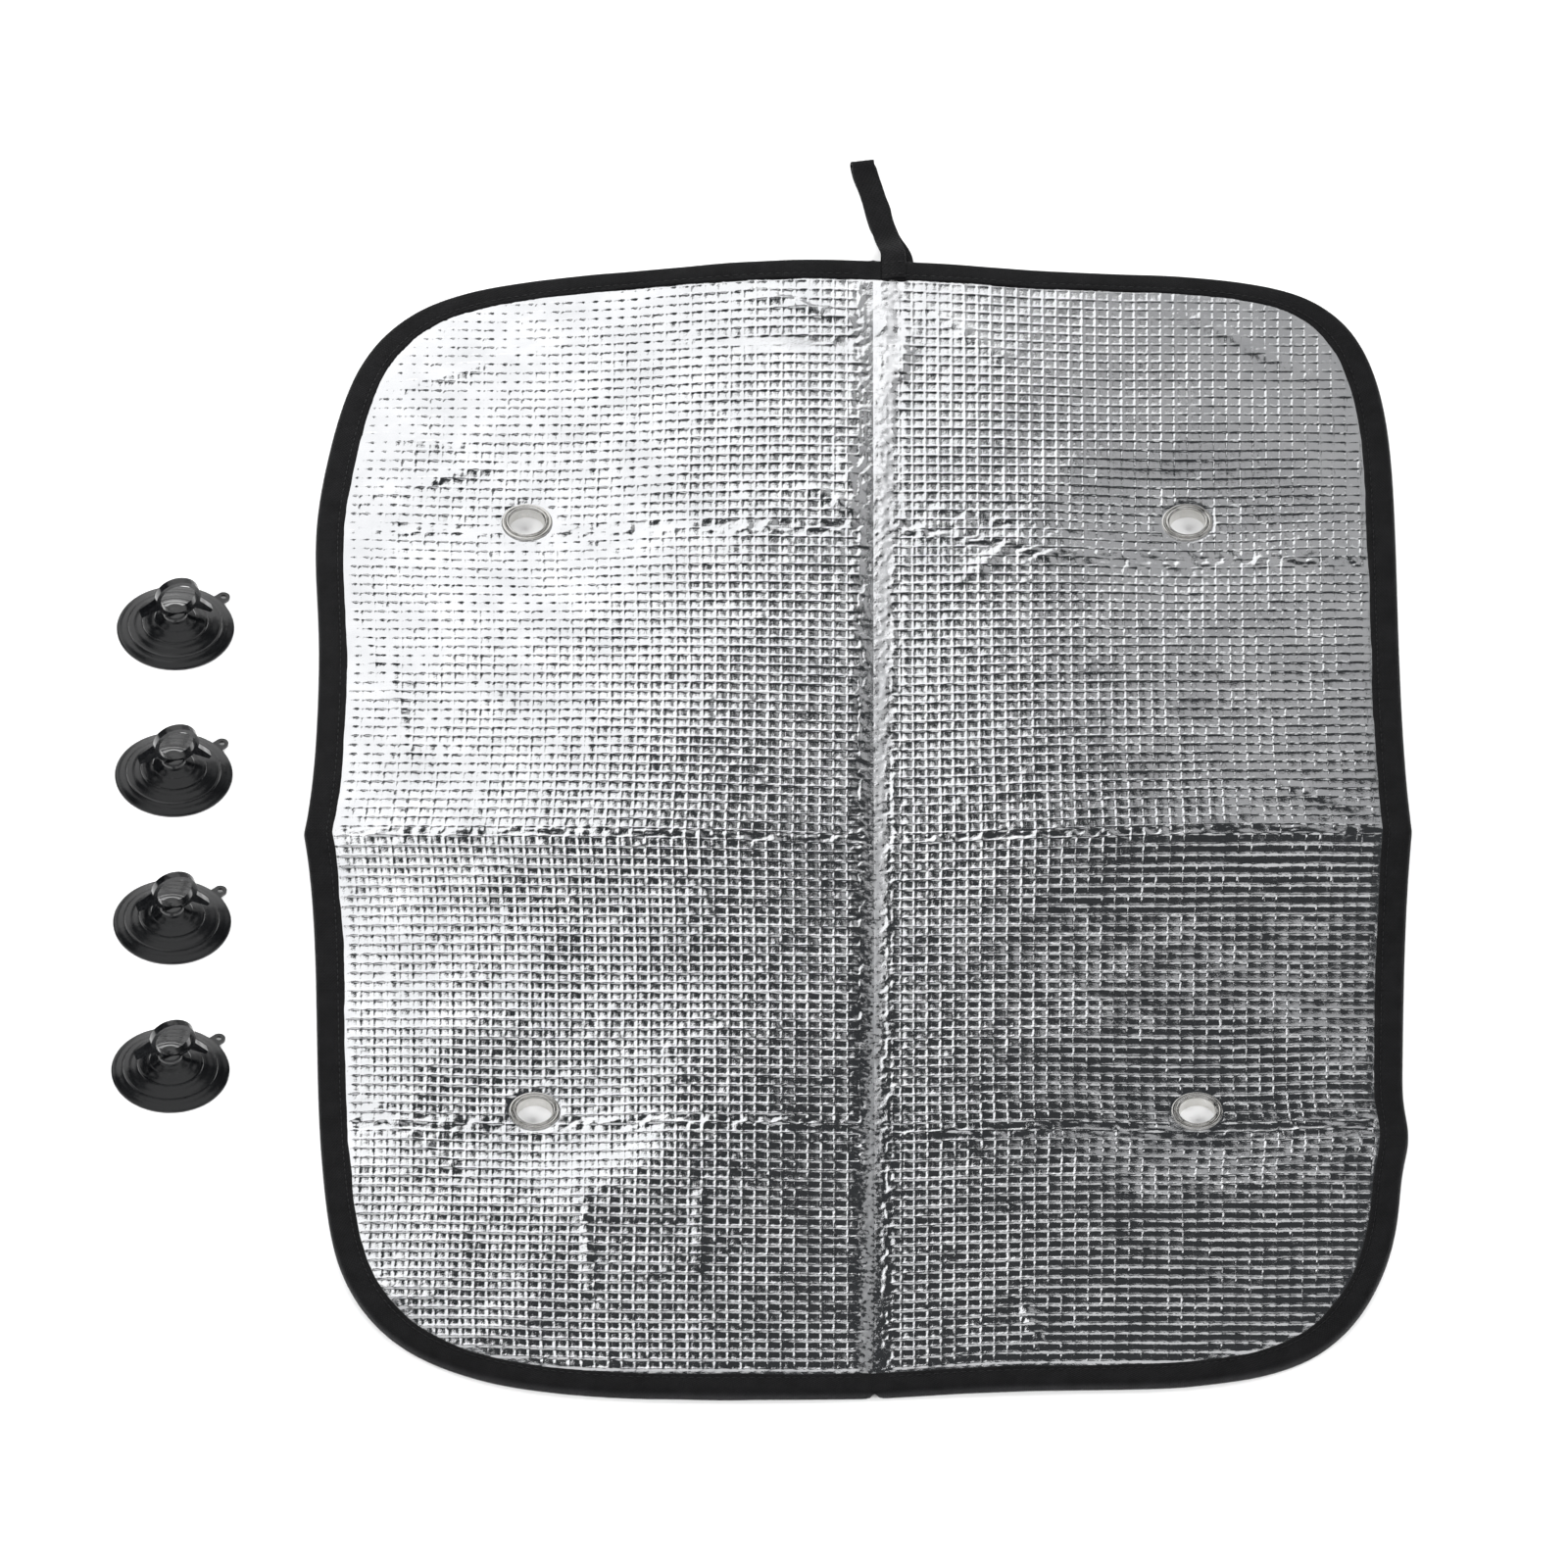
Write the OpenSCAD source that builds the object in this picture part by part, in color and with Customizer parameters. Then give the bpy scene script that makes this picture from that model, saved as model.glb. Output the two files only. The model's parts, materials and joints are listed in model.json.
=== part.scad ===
/* [Pad] */
// Width of the pad, across the short side
pad_w = 410; // [370:5:450]
// Length of the pad, from the loop edge to the lower edge
pad_l = 610; // [570:5:650]
// Thickness of the finished pad
pad_t = 4; // [3.5:0.5:6]
// Squareness of the two corners on the loop edge, left then right
upper_corners = [5.7, 7]; // [3:0.1:9]
// Squareness of the two corners on the lower edge, left then right
lower_corners = [5.5, 6.3]; // [3:0.1:9]
// Thickness of each aluminised film
film_t = 0.2; // [0.1:0.05:0.3]

/* [Creases] */
// Place of the lengthwise crease, right of the middle
crease_x = 6.5; // [0:0.5:8]
// Places of the three crosswise creases, from the loop edge down
crease_ys = [146, -10, -171]; // [-180:1:150]
// Gap between neighbouring panels at a crease
crease_gap = 0.3; // [0.1:0.1:0.6]

/* [Binding] */
// Width of the binding tape that shows on each face
bind_w = 10.5; // [8:0.5:14]
// Thickness of the binding tape
bind_t = 0.5; // [0.4:0.1:0.8]

/* [Eyelets] */
// Radius of the hole through an eyelet
eyelet_bore_r = 6.8; // [6:0.1:7.5]
// Radius of the flange of an eyelet
eyelet_flange_r = 9.8; // [9:0.1:11]
// Wall thickness of the barrel of an eyelet
eyelet_wall = 0.6; // [0.4:0.1:0.8]
// Height of the rolled rim above the film
eyelet_rise = 0.9; // [0.6:0.1:1.2]
// Distances of the upper and the lower left eyelet from the middle of the width
left_eyelet_xs = [126.5, 122.5]; // [110:0.5:140]
// Distances of the upper and the lower right eyelet from the middle of the width
right_eyelet_xs = [127, 129]; // [110:0.5:140]
// Places of the upper and the lower pair of eyelets
eyelet_ys = [161.5, -154.5]; // [-155:0.5:170]

/* [Hang loop] */
// Width of the webbing
web_w = 10; // [8:1:12]
// Thickness of the webbing
web_t = 1; // [0.8:0.1:1.2]
// Length of the loop beyond the edge of the pad
loop_l = 55; // [40:5:70]
// Length of each sewn end
loop_tab = 12; // [8:1:16]
// Place of the loop along the edge
loop_x = 12.6; // [12.5:0.1:14]
// Lean of the loop towards the left
loop_lean = 10; // [0:1:12]

/* [Suction cups] */
// Radius of the rim
cup_r = 22.5; // [20:0.5:25]
// Height of the cone
cup_h = 8.2; // [7:0.1:10]
// Place of the column of cups, left of the middle
cup_x = -261; // [-280:1:-245]
// Place of the cup nearest the loop edge
cup_first_y = 108; // [90:1:120]
// Distance from one cup to the next
cup_pitch = 79; // [60:1:90]
// Turn of the handle about the axis of the cup
cup_turn = 14; // [0:1:30]
// Lean of the handle in its own plane
handle_lean = 7; // [0:1:10]
// Inner radius of the handle ring
ring_r = 7.1; // [6.5:0.1:7.5]
// Radial thickness of the handle ring
ring_wall = 1.6; // [1.2:0.1:2]
// Depth of the handle ring along its own axis
ring_depth = 3; // [2.4:0.2:3.6]

/* [Hidden] */
$fn = 64;

half_w = pad_w / 2;
half_l = pad_l / 2;
margin = 20;
left = 0;
right = 1;
upper = 0;
lower = 1;

film_color = [0.82, 0.83, 0.85];
foam_color = [0.93, 0.93, 0.9];
tape_color = [0.06, 0.06, 0.07];
metal_color = [0.75, 0.76, 0.78];
pvc_color = [0.05, 0.05, 0.06];

// the outline is a superellipse quarter in each corner, drawn in equal steps of its own angle
steps = 24;
step = 90 / steps;

// rows run from the loop edge down, and row_edges holds the limits of all four
row_edges = concat([half_l + margin], crease_ys, [-half_l - margin]);
// the film stops just short of the binding
film_inset = bind_w + 0.1;

// the flange rests on the front film, and the back washer sits flush in the foam
barrel_r = eyelet_bore_r + eyelet_wall;
barrel_fit = 0.05;
lip_r = barrel_r + 1;
lip_t = 0.2;
// the flange is stepped: an inner bead at the full rise, then a lower outer one
inner_bead_r = barrel_r + 0.9;
outer_bead_up = 0.2;
outer_bead_rise = eyelet_rise / 2;
washer_t = 0.3;
washer_fit = 0.1;
bead_steps = 10;
bore_top = pad_t + 0.1;

// the two sewn ends of the loop are sunk into the faces of the pad
tab_proud = 0.1;
tab_fit = 0.1;
notch_out = 3;
front_leg_z = pad_t + tab_proud - web_t;
fold_gap = 0.6;
leg_flat = 1.5;
fold_r = web_t + fold_gap / 2;
leg_slope = 13;
fold_steps = 10;

// the cone of a cup is a thin wall with three faint steps outside
rim_t = 0.9;
hollow_h = 6;
neck_r = 4.4;
neck_top = 9.6;
ring_out = ring_r + ring_wall;
ring_z = neck_top + ring_out - 1.2;
arm_t = 1.7;
arm_reach = 14;
arm_drop = 7;
arm_join = 7;
tab_turn = 42;
tab_w = 5;
tab_l = 4.6;
tab_hole_r = 1.1;

// a point of the outline in one corner of squareness n, moved inward by inset
function corner_point(angle, n, inset) =
    let (
        x = half_w * pow(cos(angle), 2 / n),
        y = half_l * pow(sin(angle), 2 / n),
        slope = [pow(x / half_w, n - 1) / half_w, pow(y / half_l, n - 1) / half_l]
    )
    [x, y] - inset * slope / norm(slope);

// one corner of the outline, from the first angle on, placed by the signs of x and y
function corner(first, turn, signs, n, inset) = [
    for (i = [0 : steps - 1])
        let (p = corner_point(first + turn * i * step, n, inset))
        [signs[0] * p[0], signs[1] * p[1]]
];

function outline(inset) = concat(
    corner(0, 1, [1, 1], upper_corners[right], inset),
    corner(90, -1, [-1, 1], upper_corners[left], inset),
    corner(0, 1, [-1, -1], lower_corners[left], inset),
    corner(90, -1, [1, -1], lower_corners[right], inset)
);

// the flat shape of one panel: the outline between the creases beside it
module panel(column, row, inset) {
    x_low = column == left ? -half_w - margin : crease_x + crease_gap / 2;
    x_high = column == left ? crease_x - crease_gap / 2 : half_w + margin;
    y_low = row_edges[row] + crease_gap / 2;
    y_high = row_edges[row - 1] - crease_gap / 2;
    intersection() {
        polygon(outline(inset));
        translate([x_low, y_low])
            square([x_high - x_low, y_high - y_low]);
    }
}

module slab(column, row, inset, z_low, z_high) {
    translate([0, 0, z_low])
        linear_extrude(z_high - z_low)
            panel(column, row, inset);
}

function eyelet_place(column, pair) = [
    column == left ? -left_eyelet_xs[pair] : right_eyelet_xs[pair],
    eyelet_ys[pair],
    0
];

// a round hole through the pad at both eyelets of a column
module eyelet_holes(column, r, z_low, z_high) {
    for (pair = [upper, lower])
        translate(eyelet_place(column, pair) + [0, 0, z_low])
            cylinder(r = r, h = z_high - z_low);
}

module loop_frame() {
    translate([loop_x, half_l, 0])
        rotate([0, 0, loop_lean])
            children();
}

// the room that the sewn ends of the loop take in the front and the back of the pad
module loop_notches() {
    loop_frame()
        for (z = [-1, front_leg_z])
            translate([-web_w / 2 - tab_fit, -loop_tab - tab_fit, z])
                cube([web_w + 2 * tab_fit, loop_tab + tab_fit + notch_out, 1 + web_t]);
}

module foam(column, row) {
    color(foam_color)
        difference() {
            union() {
                slab(column, row, bind_w, film_t, pad_t - film_t);
                slab(column, row, bind_t, bind_t, pad_t - bind_t);
            }
            eyelet_holes(column, barrel_r + barrel_fit, -1, pad_t + 1);
            eyelet_holes(column, eyelet_flange_r + washer_fit, -1, lip_t + washer_t);
            if (column == right && row == 1)
                loop_notches();
        }
}

module front_film(column, row) {
    color(film_color)
        difference() {
            slab(column, row, film_inset, pad_t - film_t, pad_t);
            eyelet_holes(column, barrel_r + barrel_fit, 0, pad_t + 1);
            if (column == right && row == 1)
                loop_notches();
        }
}

module back_film(column, row) {
    color(film_color)
        difference() {
            slab(column, row, film_inset, 0, film_t);
            eyelet_holes(column, eyelet_flange_r + washer_fit, -1, 1);
            if (column == right && row == 1)
                loop_notches();
        }
}

// a U of tape: a wall round the edge and a leg on each face
module binding(column, row) {
    color(tape_color)
        difference() {
            slab(column, row, 0, 0, pad_t);
            slab(column, row, bind_w, -1, pad_t + 1);
            slab(column, row, bind_t, bind_t, pad_t - bind_t);
            if (column == right && row == 1)
                loop_notches();
        }
}

// a half-round bead of a flange, from radius r_in to r_out, as points from outside in
function bead(r_in, r_out, base, rise) = [
    for (i = [0 : bead_steps])
        let (angle = 180 * i / bead_steps, half = (r_out - r_in) / 2)
        [r_in + half + half * cos(angle), base + rise * sin(angle)]
];

module eyelet(column, pair) {
    profile = concat(
        [[eyelet_bore_r, 0], [lip_r, 0], [lip_r, lip_t], [barrel_r, lip_t]],
        [[barrel_r, pad_t], [eyelet_flange_r, pad_t]],
        bead(inner_bead_r, eyelet_flange_r, pad_t + outer_bead_up, outer_bead_rise),
        bead(eyelet_bore_r, inner_bead_r, bore_top, eyelet_rise)
    );
    color(metal_color)
        translate(eyelet_place(column, pair))
            rotate_extrude()
                polygon(profile);
}

module washer(column, pair) {
    color(metal_color)
        translate(eyelet_place(column, pair) + [0, 0, lip_t])
            difference() {
                cylinder(r = eyelet_flange_r, h = washer_t);
                translate([0, 0, -1])
                    cylinder(r = barrel_r + barrel_fit, h = washer_t + 2);
            }
}

// the side view of the loop: the front leg, the fold at the tip and the back leg
function fold_arc(r, first, turn) = [
    for (i = [0 : fold_steps])
        let (angle = first + turn * 180 * i / fold_steps)
        [loop_l - fold_r + r * cos(angle), fold_r + r * sin(angle)]
];

module hang_loop() {
    side = concat(
        [[-loop_tab, front_leg_z + web_t], [leg_flat, front_leg_z + web_t], [leg_slope, 2 * fold_r]],
        fold_arc(fold_r, 90, -1),
        [[-loop_tab, 0], [-loop_tab, web_t], [leg_slope, web_t]],
        fold_arc(fold_gap / 2, -90, 1),
        [[leg_slope, 2 * fold_r - web_t], [leg_flat, front_leg_z], [-loop_tab, front_leg_z]]
    );
    color(tape_color)
        loop_frame()
            translate([-web_w / 2, 0, 0])
                rotate([90, 0, 90])
                    linear_extrude(web_w)
                        polygon(side);
}

// the cone of a cup: wall outside with three low rings, hollow below
module cup_cone() {
    rotate_extrude()
        polygon([
            [cup_r - 0.9, 0], [cup_r, 0], [cup_r, rim_t * 0.6], [cup_r - 0.4, rim_t],
            [18.1, 2.1], [17.9, 2.4], [17.2, 2.5], [12.6, 4.0], [12.4, 4.3], [11.7, 4.4],
            [8.1, 6.0], [7.8, 6.3], [6.6, 6.9], [5.4, 7.6], [neck_r + 0.3, cup_h],
            [neck_r, neck_top - 0.6], [neck_r - 0.5, neck_top], [0, neck_top],
            [0, hollow_h], [2.4, hollow_h - 0.1], [6.4, 5.2], [11.5, 3.0], [17.6, 1.2]
        ]);
}

// a springy arm from the side of the ring, outward and down
module cup_arm(side) {
    rotate([90, 0, 0])
        linear_extrude(ring_depth, center = true)
            polygon([
                [side * (arm_join + 0.3), ring_z - 2.4], [side * (arm_join + 1.1), ring_z - 1.2],
                [side * (arm_reach + 0.3), ring_z - arm_drop + 0.2],
                [side * (arm_reach - 0.3), ring_z - arm_drop - arm_t + 0.4],
                [side * (arm_join - 0.8), ring_z - 4.6]
            ]);
}

// the handle: a ring over the neck with an arm on each side
module cup_handle() {
    difference() {
        union() {
            translate([0, 0, ring_z])
                rotate([90, 0, 0])
                    cylinder(r = ring_out, h = ring_depth, center = true);
            cup_arm(-1);
            cup_arm(1);
            translate([-neck_r, -ring_depth / 2, cup_h - 1])
                cube([2 * neck_r, ring_depth, 3]);
        }
        translate([0, 0, ring_z])
            rotate([90, 0, 0])
                cylinder(r = ring_r, h = ring_depth + 2, center = true);
    }
}

// a small pull tab on the rim
module cup_tab() {
    rotate([0, 0, tab_turn])
        difference() {
            union() {
                translate([cup_r - 1.5, -tab_w / 2, 0])
                    cube([tab_l - 1, tab_w, rim_t]);
                translate([cup_r + tab_l - 2.5, 0, 0])
                    cylinder(r = tab_w / 2, h = rim_t);
            }
            translate([cup_r + tab_l - 2.5, 0, -1])
                cylinder(r = tab_hole_r, h = rim_t + 2);
        }
}

module suction_cup(number) {
    color(pvc_color)
        translate([cup_x, cup_first_y - (number - 1) * cup_pitch, 0])
            union() {
                cup_cone();
                cup_tab();
                rotate([0, 0, cup_turn])
                    translate([0, 0, cup_h])
                        rotate([0, handle_lean, 0])
                            translate([0, 0, -cup_h])
                                cup_handle();
            }
}

foam(left, 1);  // foam_left_1
foam(left, 2);  // foam_left_2
foam(left, 3);  // foam_left_3
foam(left, 4);  // foam_left_4
foam(right, 1);  // foam_right_1
foam(right, 2);  // foam_right_2
foam(right, 3);  // foam_right_3
foam(right, 4);  // foam_right_4
front_film(left, 1);  // front_film_left_1
front_film(left, 2);  // front_film_left_2
front_film(left, 3);  // front_film_left_3
front_film(left, 4);  // front_film_left_4
front_film(right, 1);  // front_film_right_1
front_film(right, 2);  // front_film_right_2
front_film(right, 3);  // front_film_right_3
front_film(right, 4);  // front_film_right_4
back_film(left, 1);  // back_film_left_1
back_film(left, 2);  // back_film_left_2
back_film(left, 3);  // back_film_left_3
back_film(left, 4);  // back_film_left_4
back_film(right, 1);  // back_film_right_1
back_film(right, 2);  // back_film_right_2
back_film(right, 3);  // back_film_right_3
back_film(right, 4);  // back_film_right_4
binding(left, 1);  // binding_left_1
binding(left, 2);  // binding_left_2
binding(left, 3);  // binding_left_3
binding(left, 4);  // binding_left_4
binding(right, 1);  // binding_right_1
binding(right, 2);  // binding_right_2
binding(right, 3);  // binding_right_3
binding(right, 4);  // binding_right_4
eyelet(left, upper);  // eyelet_upper_left
eyelet(right, upper);  // eyelet_upper_right
eyelet(left, lower);  // eyelet_lower_left
eyelet(right, lower);  // eyelet_lower_right
washer(left, upper);  // washer_upper_left
washer(right, upper);  // washer_upper_right
washer(left, lower);  // washer_lower_left
washer(right, lower);  // washer_lower_right
hang_loop();
suction_cup(1);  // suction_cup_1
suction_cup(2);  // suction_cup_2
suction_cup(3);  // suction_cup_3
suction_cup(4);  // suction_cup_4
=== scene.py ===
import json
import math

import bpy
import numpy as np
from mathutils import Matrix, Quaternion, Vector


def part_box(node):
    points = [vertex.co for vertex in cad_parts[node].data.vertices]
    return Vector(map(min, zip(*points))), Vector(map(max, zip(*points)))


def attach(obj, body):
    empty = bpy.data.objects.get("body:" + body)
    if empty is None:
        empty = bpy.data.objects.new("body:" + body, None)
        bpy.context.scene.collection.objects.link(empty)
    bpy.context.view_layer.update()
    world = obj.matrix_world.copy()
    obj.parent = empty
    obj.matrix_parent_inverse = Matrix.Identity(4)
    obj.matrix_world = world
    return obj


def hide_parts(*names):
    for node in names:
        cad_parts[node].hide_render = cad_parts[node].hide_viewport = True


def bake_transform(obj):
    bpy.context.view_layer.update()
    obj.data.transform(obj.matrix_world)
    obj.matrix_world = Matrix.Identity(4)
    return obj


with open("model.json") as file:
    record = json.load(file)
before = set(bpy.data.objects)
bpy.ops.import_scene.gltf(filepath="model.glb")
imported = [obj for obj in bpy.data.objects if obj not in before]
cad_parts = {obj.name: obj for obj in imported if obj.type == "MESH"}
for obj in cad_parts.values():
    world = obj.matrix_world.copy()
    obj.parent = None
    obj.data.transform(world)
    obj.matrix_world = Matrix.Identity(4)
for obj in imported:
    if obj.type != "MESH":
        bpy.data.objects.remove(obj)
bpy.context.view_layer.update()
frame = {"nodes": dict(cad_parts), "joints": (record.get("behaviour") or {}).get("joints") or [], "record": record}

# Lengths are in millimetres until a mesh is made, and in the row frame.
MM = 0.001
LEFT, RIGHT = "left", "right"
COLUMNS = (LEFT, RIGHT)

# ---------------------------------------------------------------- sizes from the frame


def box_mm(node):
    low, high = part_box(node)
    return np.array(low) / MM, np.array(high) / MM


def joint_place(name):
    found = next(j for j in frame["joints"] if j["name"] == name)
    return np.array(found["pos_m"]) / MM


def mount_place(name):
    found = next(m for m in frame["record"]["mounts"] if m["name"] == name)
    return np.array(found["pos_m"]) / MM


def cup_centre(node):
    """Where the cup's axis meets the floor, in metres: its disc is as deep in Y as its box."""
    low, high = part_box(node)
    middle_y = (low[1] + high[1]) / 2
    return (low[0] + (high[1] - low[1]) / 2, middle_y)


HALF_W = box_mm("binding_right_2")[1][0]
HALF_L = box_mm("binding_left_1")[1][1]
THICK = box_mm("binding_left_2")[1][2]
BIND_W = box_mm("front_film_left_2")[0][0] - box_mm("binding_left_2")[0][0]
CREASE_X = joint_place("lengthwise_fold")[0]
CREASE_YS = [joint_place(n)[1] for n in ("crosswise_fold", "crease_2_right", "crease_3_right")]
EYELETS = [mount_place(f"eyelet_bore_{p}_{c}")[:2] for p in ("upper", "lower") for c in COLUMNS]
FLANGE_R = (box_mm("eyelet_upper_left")[1][0] - box_mm("eyelet_upper_left")[0][0]) / 2

# Squareness of the outline's corners, as in the CAD model: (right or left, upper or lower).
SQUARENESS = {(1, 1): 7.0, (-1, 1): 5.7, (-1, -1): 5.5, (1, -1): 6.3}

# ---------------------------------------------------------------- numbers of the looks

PITCH = 5.0  # of the square emboss
SAG_X = 0.16  # how far the film of an emboss cell falls toward its left and right borders
SAG_Y = 0.10  # and how far it rises toward its upper and lower ones
CORNER = 0.20  # how steeply its upper right corner is pressed down
RIDGE_X = 0.20  # height of the sharp ridges on its left and right borders
RIDGE_Y = 0.15  # and on its upper and lower ones
RIDGE_FROM = 0.84  # where a ridge starts, from 0 at the middle of the cell to 1 at its border
# Where the mesh lines of one emboss cell lie: an ordinary one, one in a crumpled crease, one of the back film
# and one of the foam.
FRONT_LINES = (0, 0.08, 0.28, 0.5, 0.72, 0.92)
CREASE_LINES = (0, 0.08, 0.19, 0.31, 0.43, 0.56, 0.69, 0.81, 0.92)
BACK_LINES = (0, 0.08, 0.36, 0.64, 0.92)
FOAM_LINES = (0, 0.5)
FILM_T = 0.2
BACK_SKIN = 0.6  # how far the back film's base lies above the pad's back, which its emboss reaches down to
TAPE_T = 0.45
PROUD = 0.5  # the binding stands this far above the front film
STITCH_STEP = 3.3
STITCH_L = 2.4
STITCH_R = 0.24
STITCH_D = 8.3  # distance of the seam from the edge of the pad
CUT_YS = (68.0, -92.0)  # where the long pieces are cut, in the middle of rows 2 and 3
WEB_W = 9.8
WEB_T = 1.0
WEB_RIB = 1.1  # from one rib of the webbing to the next
LOOP_TAB = 11.0  # how far the loop's tab reaches in over the binding
LOOP_LEANS = (17, 9)  # degrees to the left, at the pad's edge and at the tip
LOOP_EYE = 0.8  # how far the loop's fold opens at the tip
LOOP_ASIDE = 3.0  # how far the under leg shows to the right at the pad's edge
SEED = 11
FLAT_ROUND_EYELET = 60  # the pad lies flat within this distance of an eyelet
TAPE_STEP = 1.6  # from one ring of points along the tape to the next
CUP_RING_STEP = 2.8  # from one moulded ring of a cup to the next

# ---------------------------------------------------------------- noise and shape helpers


def smooth(t):
    t = np.clip(t, 0, 1)
    return t * t * (3 - 2 * t)


def noise(x, y, size, seed):
    """Smooth noise from -1 to 1 that changes over about size millimetres."""
    table = np.random.default_rng(SEED + seed).uniform(-1, 1, (256, 256))
    u, v = np.asarray(x) / size, np.asarray(y) / size
    i, j = np.floor(u).astype(int), np.floor(v).astype(int)
    fu, fv = smooth(u - i), smooth(v - j)
    i, j = i % 256, j % 256
    k, m = (i + 1) % 256, (j + 1) % 256
    low = table[i, j] * (1 - fu) + table[k, j] * fu
    high = table[i, m] * (1 - fu) + table[k, m] * fu
    return low * (1 - fv) + high * fv


def ridged(x, y, size, seed):
    """Noise with sharp ridges, from 0 to 1, for creased foil."""
    return 1 - np.abs(noise(x, y, size, seed)) * 1.6 - np.abs(noise(y, x, size * 0.45, seed + 1)) * 0.5


def per_cell(i, j, seed):
    """One random number from -1 to 1 for each emboss cell."""
    table = np.random.default_rng(SEED + seed).uniform(-1, 1, (128, 160))
    return table[i % 128, j % 160]


def squareness(x, y):
    upper = np.where(x > 0, SQUARENESS[1, 1], SQUARENESS[-1, 1])
    lower = np.where(x > 0, SQUARENESS[1, -1], SQUARENESS[-1, -1])
    return np.where(y > 0, upper, lower)


def edge_distance(x, y):
    """How far a point lies inside the outline."""
    n = squareness(x, y)
    a, b = np.maximum(np.abs(x), 1e-6) / HALF_W, np.maximum(np.abs(y), 1e-6) / HALF_L
    g = (a**n + b**n) ** (1 / n)
    gx = (a / g) ** (n - 1) / HALF_W
    gy = (b / g) ** (n - 1) / HALF_L
    return (1 - g) / np.hypot(gx, gy)


# ---------------------------------------------------------------- how the pad lies

# Ridges and dents pressed into the foil: ends in the row frame, height and half width.
WRINKLES = [
    ((-52, 292), (4, 268), 0.9, 3.0),
    ((-70, 262), (2, 258), -0.5, 3.5),
    ((20, 285), (60, 250), 0.6, 4.0),
    ((22, 268), (10, 228), 0.7, 4.5),
    ((-190, 232), (-120, 262), 0.7, 3.5),
    ((-196, 212), (-150, 205), 0.6, 3.0),
    ((-185, 176), (-135, 198), 0.5, 3.5),
    ((-196, 120), (-176, 60), 0.6, 3.0),
    ((-180, 96), (-168, 20), 0.5, 2.5),
    ((10, 160), (-26, 186), 0.9, 3.5),
    ((8, 156), (-10, 212), 0.6, 4.0),
    ((40, 128), (60, 150), 0.4, 3.0),
    ((120, 285), (186, 235), 0.5, 3.5),
    ((-150, -190), (-196, -140), 0.5, 3.0),
    ((-60, -190), (-58, -255), 0.4, 2.5),
    ((-104, -200), (-98, -262), 0.4, 2.5),
    ((60, -250), (70, -292), 0.5, 2.5),
    ((150, 20), (192, -2), 0.5, 3.0),
]


def warp(x, y):
    """The outline isn't quite straight: the sides bulge at the creases and the ends are a little rounded."""
    away = np.abs(y - CREASE_YS[1])
    left = 5.6 * np.exp(-away / 38) + 2.8 * np.exp(-(((y - CREASE_YS[0] - 10) / 45) ** 2)) + 0.2
    left = left + 2.0 * np.exp(-(((y + 250) / 40) ** 2))
    right = 5.2 * np.exp(-away / 60) + 2.6 * np.exp(-(((y - CREASE_YS[2]) / 16) ** 2)) + 1.8
    right = right + 1.6 * np.exp(-(((y + 220) / 40) ** 2))
    side = np.where(x > CREASE_X, right, left)
    x_new = CREASE_X + (x - CREASE_X) * (1 + side / HALF_W)
    top = np.where(x > 0, 8.5, 9.5) * np.sin(np.pi / 2 * np.clip(np.abs(x + 10) / 120, 0, 1)) ** 2
    bottom = np.where(x > -45, 5.0, 3.0) * np.sin(np.pi / 2 * np.clip(np.abs(x + 45) / 140, 0, 1)) ** 2
    share = (y / HALF_L) ** 2
    return x_new, y - np.where(y > 0, top, -bottom) * share


def segment_distance(x, y, a, b):
    """(distance from the segment a-b, place along it from 0 to 1)."""
    d = np.array(b, float) - np.array(a, float)
    t = ((x - a[0]) * d[0] + (y - a[1]) * d[1]) / (d @ d)
    t = np.clip(t, 0, 1)
    return np.hypot(x - a[0] - t * d[0], y - a[1] - t * d[1]), t


def clear_of_eyelets(x, y, inner, outer):
    """0 within inner of an eyelet's centre, 1 beyond outer."""
    nearest = np.min([np.hypot(x - e[0], y - e[1]) for e in EYELETS], axis=0)
    return smooth((nearest - inner) / (outer - inner))


# How high the pad lies: (Y, right half, left half). It crests at the middle crease.
LIE_ROWS = np.array([
    (-HALF_L, 0.2, 0.2),
    (-250, 1.2, 1.3),
    (CREASE_YS[2] - 14, 1.6, 1.6),
    (CREASE_YS[2], 1.3, 1.1),
    (CREASE_YS[2] + 12, 1.1, 0.9),
    (CREASE_YS[2] + 60, 0.8, 0.7),
    (CREASE_YS[1] - 90, 0.5, 0.5),
    (CREASE_YS[1] - 64, 0.4, 0.4),
    (CREASE_YS[1] - 40, 1.2, 0.9),
    (CREASE_YS[1] - 20, 3.1, 2.2),
    (CREASE_YS[1] - 8, 4.5, 3.3),
    (CREASE_YS[1], 5.4, 4.1),
    (CREASE_YS[1] + 12, 5.0, 3.9),
    (CREASE_YS[1] + 70, 3.0, 2.4),
    (CREASE_YS[0] - 30, 1.4, 1.4),
    (CREASE_YS[0], 1.4, 1.2),
    (CREASE_YS[0] + 14, 0.9, 0.9),
    (CREASE_YS[0] + 40, 1.0, 1.0),
    (250, 0.9, 1.0),
    (HALF_L, 0.1, 0.1),
])


def lie(x, y):
    """Height of the pad's back above the floor."""
    places, right, left = LIE_ROWS.T
    height = np.where(x > CREASE_X, np.interp(y, places, right), np.interp(y, places, left))
    height = height + 0.5 * (1 + noise(x, y, 48, 1)) + 0.25 * (1 + noise(x, y, 17, 2))
    u = np.abs(x - CREASE_X)
    cap = 0.02 * u + 0.0008 * u**2
    height = height * (1 - np.exp(-cap / np.maximum(height, 0.01)))
    return np.maximum(height * clear_of_eyelets(x, y, FLANGE_R + 2, FLAT_ROUND_EYELET), 0)


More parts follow.
